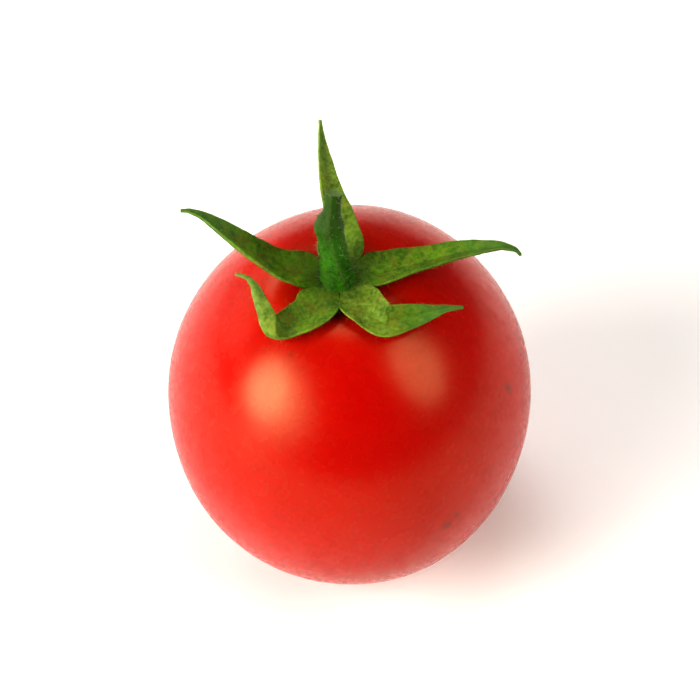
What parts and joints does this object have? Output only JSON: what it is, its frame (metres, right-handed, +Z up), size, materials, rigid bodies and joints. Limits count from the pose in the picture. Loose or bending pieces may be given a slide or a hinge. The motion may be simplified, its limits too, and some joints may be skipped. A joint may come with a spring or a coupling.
{
  "type": "cherry tomato",
  "caption": "Ripe red cherry tomato with its green star of sepals and the stub of its stalk, as picked.",
  "frame": {"origin": "centre of the small flat spot on the blossom end that the fruit rests on", "axes": "+Z up along the stalk, -Y towards the front"},
  "size_m": [0.0301, 0.0312, 0.0392],
  "materials": {
    "skin": "satin gloss",
    "sepal": "matte, finely hairy",
    "stalk": "matte, finely hairy"
  },
  "bodies": {
    "root": {"fruit": "skin", "stalk": "stalk", "sepal_left": "sepal", "sepal_back": "sepal", "sepal_right": "sepal", "sepal_front_left": "sepal", "sepal_front_right": "sepal"}
  },
  "joints": []
}
